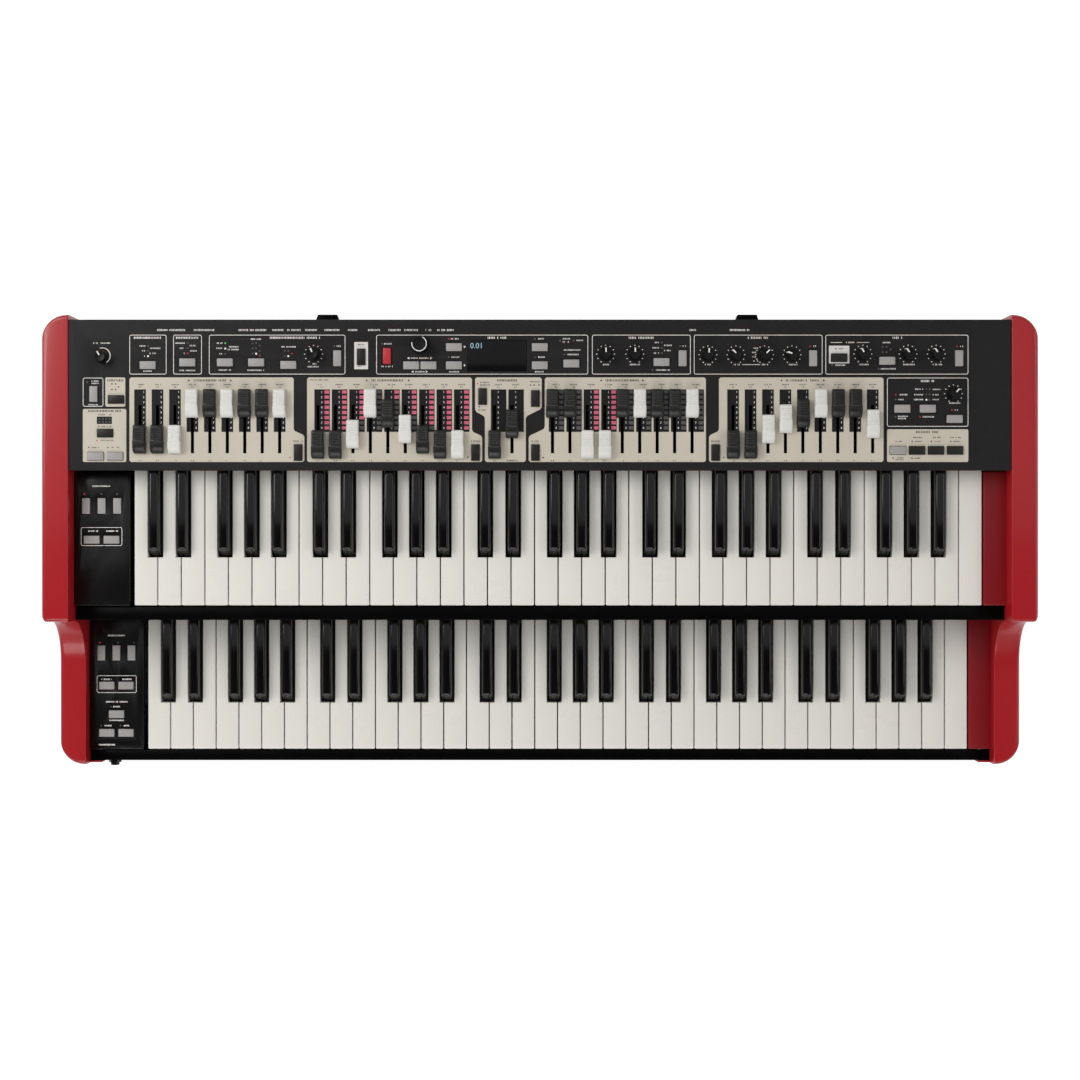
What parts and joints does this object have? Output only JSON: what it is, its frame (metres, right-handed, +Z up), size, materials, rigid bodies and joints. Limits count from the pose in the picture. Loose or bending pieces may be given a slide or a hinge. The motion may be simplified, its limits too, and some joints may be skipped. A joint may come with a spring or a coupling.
{
  "type": "two-manual combo organ",
  "caption": "Red combo organ with stacked waterfall keyboards, drawbars, knobs and buttons on a black panel, and S-shaped end cheeks.",
  "frame": {"origin": "on the ground under the middle of the whole object", "axes": "+X to the player's right, +Y to the rear, +Z up"},
  "size_m": [0.9824, 0.4592, 0.1636],
  "materials": {
    "red_lacquer": "deep red gloss lacquer over wood",
    "black_steel": "black textured powder coat on folded sheet",
    "bed_steel": "plain zinc plated sheet",
    "black_plastic": "black moulded plastic",
    "ivory_key": "off-white key plastic",
    "black_key": "polished black key plastic",
    "grey_cap": "grey button plastic",
    "dark_drawbar": "dark grey drawbar plastic",
    "white_drawbar": "white drawbar plastic",
    "display_window": "dark clear window",
    "circuit_board": "green circuit board with black sockets",
    "rubber": "black rubber"
  },
  "bodies": {
    "case": {"left_cheek": "red_lacquer", "right_cheek": "red_lacquer", "base_tray": "black_steel", "rear_panel": "black_steel", "main_board": "circuit_board", "power_inlet": "black_plastic", "headphone_jack": "black_plastic", "foot_front_left": "rubber", "foot_front_right": "rubber", "foot_rear_left": "rubber", "foot_rear_right": "rubber", "upper_keybed": "black_steel", "lower_keybed": "bed_steel", "control_panel": "black_steel", "display_window": "display_window", "upper_preset_panel": "black_plastic", "lower_preset_panel": "black_plastic"},
    "power_rocker": {"power_rocker": "black_plastic"},
    "upper_key_c4": {"upper_key_c4": "ivory_key"},
    "upper_key_d4": {"upper_key_d4": "ivory_key"},
    "upper_key_c_sharp4": {"upper_key_c_sharp4": "black_key"},
    "upper_key_d_sharp4": {"upper_key_d_sharp4": "black_key"},
    "upper_naturals": {"upper_naturals": "ivory_key"},
    "upper_sharps": {"upper_sharps": "black_key"},
    "lower_naturals": {"lower_naturals": "ivory_key"},
    "lower_sharps": {"lower_sharps": "black_key"},
    "upper_preset_buttons": {"upper_preset_buttons": "grey_cap"},
    "lower_preset_buttons": {"lower_preset_buttons": "grey_cap"},
    "panel_buttons": {"panel_buttons": "grey_cap"},
    "drawbar_upper_a_1_2_3": {"drawbar_upper_a_1_2_3": "dark_drawbar"},
    "drawbar_upper_a_4_5_6_7_8_9": {"drawbar_upper_a_4_5_6_7_8_9": "white_drawbar"},
    "drawbar_upper_b_1_2_8_9": {"drawbar_upper_b_1_2_8_9": "dark_drawbar"},
    "drawbar_upper_b_7": {"drawbar_upper_b_7": "dark_drawbar"},
    "drawbar_upper_b_3": {"drawbar_upper_b_3": "white_drawbar"},
    "drawbar_upper_b_6": {"drawbar_upper_b_6": "white_drawbar"},
    "drawbar_upper_b_5": {"drawbar_upper_b_5": "dark_drawbar"},
    "drawbar_upper_b_4": {"drawbar_upper_b_4": "white_drawbar"},
    "drawbar_bass_1": {"drawbar_bass_1": "dark_drawbar"},
    "drawbar_bass_2": {"drawbar_bass_2": "dark_drawbar"},
    "drawbar_lower_a_3_4": {"drawbar_lower_a_3_4": "white_drawbar"},
    "drawbar_lower_a_1_2_5_6_7_8_9": {"drawbar_lower_a_1_2_5_6_7_8_9": "dark_drawbar"},
    "drawbar_lower_b_1_2": {"drawbar_lower_b_1_2": "dark_drawbar"},
    "drawbar_lower_b_3": {"drawbar_lower_b_3": "white_drawbar"},
    "drawbar_lower_b_9": {"drawbar_lower_b_9": "white_drawbar"},
    "drawbar_lower_b_4": {"drawbar_lower_b_4": "white_drawbar"},
    "drawbar_lower_b_5": {"drawbar_lower_b_5": "dark_drawbar"},
    "drawbar_lower_b_6_7_8": {"drawbar_lower_b_6_7_8": "white_drawbar"},
    "program_dial": {"program_dial": "black_plastic"},
    "master_level_knob": {"master_level_knob": "black_plastic"},
    "drive_knob": {"drive_knob": "black_plastic"},
    "modulation_rate_knob": {"modulation_rate_knob": "black_plastic"},
    "modulation_amount_knob": {"modulation_amount_knob": "black_plastic"},
    "bass_tone_knob": {"bass_tone_knob": "black_plastic"},
    "mid_gain_knob": {"mid_gain_knob": "black_plastic"},
    "mid_frequency_knob": {"mid_frequency_knob": "black_plastic"},
    "treble_tone_knob": {"treble_tone_knob": "black_plastic"},
    "delay_tempo_knob": {"delay_tempo_knob": "black_plastic"},
    "delay_feedback_knob": {"delay_feedback_knob": "black_plastic"},
    "delay_amount_knob": {"delay_amount_knob": "black_plastic"},
    "reverb_amount_knob": {"reverb_amount_knob": "black_plastic"}
  },
  "joints": [
    {"name": "upper_key_c4_hinge", "type": "hinge", "parent": "case", "child": "upper_key_c4", "pos_m": [0, 0.13025, 0.115], "axis": [1, 0, 0], "range_deg": [0, 3], "stiffness_Nm_per_rad": 1, "springref_deg": -5.73},
    {"name": "upper_key_d4_hinge", "type": "hinge", "parent": "case", "child": "upper_key_d4", "pos_m": [0, 0.13025, 0.115], "axis": [1, 0, 0], "range_deg": [0, 3], "stiffness_Nm_per_rad": 1, "springref_deg": -5.73},
    {"name": "upper_key_c_sharp4_hinge", "type": "hinge", "parent": "case", "child": "upper_key_c_sharp4", "pos_m": [0, 0.13025, 0.115], "axis": [1, 0, 0], "range_deg": [0, 3], "stiffness_Nm_per_rad": 1, "springref_deg": -5.73},
    {"name": "upper_key_d_sharp4_hinge", "type": "hinge", "parent": "case", "child": "upper_key_d_sharp4", "pos_m": [0, 0.13025, 0.115], "axis": [1, 0, 0], "range_deg": [0, 3], "stiffness_Nm_per_rad": 1, "springref_deg": -5.73},
    {"name": "upper_naturals_hinge", "type": "hinge", "parent": "case", "child": "upper_naturals", "pos_m": [0, 0.13025, 0.115], "axis": [1, 0, 0], "range_deg": [0, 3], "stiffness_Nm_per_rad": 34, "springref_deg": -5.73},
    {"name": "upper_sharps_hinge", "type": "hinge", "parent": "case", "child": "upper_sharps", "pos_m": [0, 0.13025, 0.115], "axis": [1, 0, 0], "range_deg": [0, 3], "stiffness_Nm_per_rad": 23, "springref_deg": -5.73},
    {"name": "lower_naturals_hinge", "type": "hinge", "parent": "case", "child": "lower_naturals", "pos_m": [0, -0.02015, 0.05], "axis": [1, 0, 0], "range_deg": [0, 3], "stiffness_Nm_per_rad": 36, "springref_deg": -5.73},
    {"name": "lower_sharps_hinge", "type": "hinge", "parent": "case", "child": "lower_sharps", "pos_m": [0, -0.02015, 0.05], "axis": [1, 0, 0], "range_deg": [0, 3], "stiffness_Nm_per_rad": 25, "springref_deg": -5.73},
    {"name": "drawbar_upper_a_1_2_3_slide", "type": "slide", "parent": "case", "child": "drawbar_upper_a_1_2_3", "axis": [0, -1, 0], "range_m": [-0.03542, 0.00506]},
    {"name": "drawbar_upper_a_4_5_6_7_8_9_slide", "type": "slide", "parent": "case", "child": "drawbar_upper_a_4_5_6_7_8_9", "axis": [0, -1, 0], "range_m": [0, 0.04048]},
    {"name": "drawbar_upper_b_1_2_8_9_slide", "type": "slide", "parent": "case", "child": "drawbar_upper_b_1_2_8_9", "axis": [0, -1, 0], "range_m": [-0.04048, 0]},
    {"name": "drawbar_upper_b_7_slide", "type": "slide", "parent": "case", "child": "drawbar_upper_b_7", "axis": [0, -1, 0], "range_m": [-0.03542, 0.00506]},
    {"name": "drawbar_upper_b_3_slide", "type": "slide", "parent": "case", "child": "drawbar_upper_b_3", "axis": [0, -1, 0], "range_m": [-0.03036, 0.01012]},
    {"name": "drawbar_upper_b_6_slide", "type": "slide", "parent": "case", "child": "drawbar_upper_b_6", "axis": [0, -1, 0], "range_m": [-0.0253, 0.01518]},
    {"name": "drawbar_upper_b_5_slide", "type": "slide", "parent": "case", "child": "drawbar_upper_b_5", "axis": [0, -1, 0], "range_m": [-0.01012, 0.03036]},
    {"name": "drawbar_upper_b_4_slide", "type": "slide", "parent": "case", "child": "drawbar_upper_b_4", "axis": [0, -1, 0], "range_m": [0, 0.04048]},
    {"name": "drawbar_bass_1_slide", "type": "slide", "parent": "case", "child": "drawbar_bass_1", "axis": [0, -1, 0], "range_m": [-0.04048, 0]},
    {"name": "drawbar_bass_2_slide", "type": "slide", "parent": "case", "child": "drawbar_bass_2", "axis": [0, -1, 0], "range_m": [-0.02024, 0.02024]},
    {"name": "drawbar_lower_a_3_4_slide", "type": "slide", "parent": "case", "child": "drawbar_lower_a_3_4", "axis": [0, -1, 0], "range_m": [-0.04048, 0]},
    {"name": "drawbar_lower_a_1_2_5_6_7_8_9_slide", "type": "slide", "parent": "case", "child": "drawbar_lower_a_1_2_5_6_7_8_9", "axis": [0, -1, 0], "range_m": [0, 0.04048]},
    {"name": "drawbar_lower_b_1_2_slide", "type": "slide", "parent": "case", "child": "drawbar_lower_b_1_2", "axis": [0, -1, 0], "range_m": [-0.04048, 0]},
    {"name": "drawbar_lower_b_3_slide", "type": "slide", "parent": "case", "child": "drawbar_lower_b_3", "axis": [0, -1, 0], "range_m": [-0.0253, 0.01518]},
    {"name": "drawbar_lower_b_9_slide", "type": "slide", "parent": "case", "child": "drawbar_lower_b_9", "axis": [0, -1, 0], "range_m": [-0.02024, 0.02024]},
    {"name": "drawbar_lower_b_4_slide", "type": "slide", "parent": "case", "child": "drawbar_lower_b_4", "axis": [0, -1, 0], "range_m": [-0.01518, 0.0253]},
    {"name": "drawbar_lower_b_5_slide", "type": "slide", "parent": "case", "child": "drawbar_lower_b_5", "axis": [0, -1, 0], "range_m": [-0.01012, 0.03036]},
    {"name": "drawbar_lower_b_6_7_8_slide", "type": "slide", "parent": "case", "child": "drawbar_lower_b_6_7_8", "axis": [0, -1, 0], "range_m": [0, 0.04048]},
    {"name": "master_level_knob_turn", "type": "hinge", "parent": "case", "child": "master_level_knob", "pos_m": [-0.4315, 0.18595, 0.149], "axis": [0, 0, 1], "range_deg": [-180, 120]},
    {"name": "drive_knob_turn", "type": "hinge", "parent": "case", "child": "drive_knob", "pos_m": [-0.2232, 0.18875, 0.149], "axis": [0, 0, 1], "range_deg": [-170, 130]},
    {"name": "modulation_rate_knob_turn", "type": "hinge", "parent": "case", "child": "modulation_rate_knob", "pos_m": [0.0647, 0.18875, 0.149], "axis": [0, 0, 1], "range_deg": [-150, 150]},
    {"name": "modulation_amount_knob_turn", "type": "hinge", "parent": "case", "child": "modulation_amount_knob", "pos_m": [0.0934, 0.18875, 0.149], "axis": [0, 0, 1], "range_deg": [-150, 150]},
    {"name": "bass_tone_knob_turn", "type": "hinge", "parent": "case", "child": "bass_tone_knob", "pos_m": [0.1655, 0.18815, 0.149], "axis": [0, 0, 1], "range_deg": [-145, 155]},
    {"name": "mid_gain_knob_turn", "type": "hinge", "parent": "case", "child": "mid_gain_knob", "pos_m": [0.1931, 0.18815, 0.149], "axis": [0, 0, 1], "range_deg": [-195, 105]},
    {"name": "mid_frequency_knob_turn", "type": "hinge", "parent": "case", "child": "mid_frequency_knob", "pos_m": [0.2213, 0.18815, 0.149], "axis": [0, 0, 1], "range_deg": [-105, 195]},
    {"name": "treble_tone_knob_turn", "type": "hinge", "parent": "case", "child": "treble_tone_knob", "pos_m": [0.2484, 0.18815, 0.149], "axis": [0, 0, 1], "range_deg": [-220, 80]},
    {"name": "delay_tempo_knob_turn", "type": "hinge", "parent": "case", "child": "delay_tempo_knob", "pos_m": [0.3182, 0.18885, 0.149], "axis": [0, 0, 1], "range_deg": [-180, 120]},
    {"name": "delay_feedback_knob_turn", "type": "hinge", "parent": "case", "child": "delay_feedback_knob", "pos_m": [0.3628, 0.18885, 0.149], "axis": [0, 0, 1], "range_deg": [-185, 115]},
    {"name": "delay_amount_knob_turn", "type": "hinge", "parent": "case", "child": "delay_amount_knob", "pos_m": [0.3906, 0.18885, 0.149], "axis": [0, 0, 1], "range_deg": [-185, 115]},
    {"name": "reverb_amount_knob_turn", "type": "hinge", "parent": "case", "child": "reverb_amount_knob", "pos_m": [0.4075, 0.14975, 0.149], "axis": [0, 0, 1], "range_deg": [-110, 190]},
    {"name": "program_dial_turn", "type": "hinge", "parent": "case", "child": "program_dial", "pos_m": [-0.1183, 0.19775, 0.149], "axis": [0, 0, 1], "continuous": true},
    {"name": "panel_buttons_press", "type": "slide", "parent": "case", "child": "panel_buttons", "axis": [0, 0, -1], "range_m": [0, 0.001], "stiffness_N_per_m": 2640, "springref_m": -0.0008},
    {"name": "upper_preset_buttons_press", "type": "slide", "parent": "case", "child": "upper_preset_buttons", "axis": [0, 0, -1], "range_m": [0, 0.001], "stiffness_N_per_m": 600, "springref_m": -0.0008},
    {"name": "lower_preset_buttons_press", "type": "slide", "parent": "case", "child": "lower_preset_buttons", "axis": [0, 0, -1], "range_m": [0, 0.001], "stiffness_N_per_m": 780, "springref_m": -0.0008},
    {"name": "power_rocker_tip", "type": "hinge", "parent": "case", "child": "power_rocker", "pos_m": [0.1966, 0.22195, 0.109], "axis": [1, 0, 0], "range_deg": [-14, 0]}
  ]
}
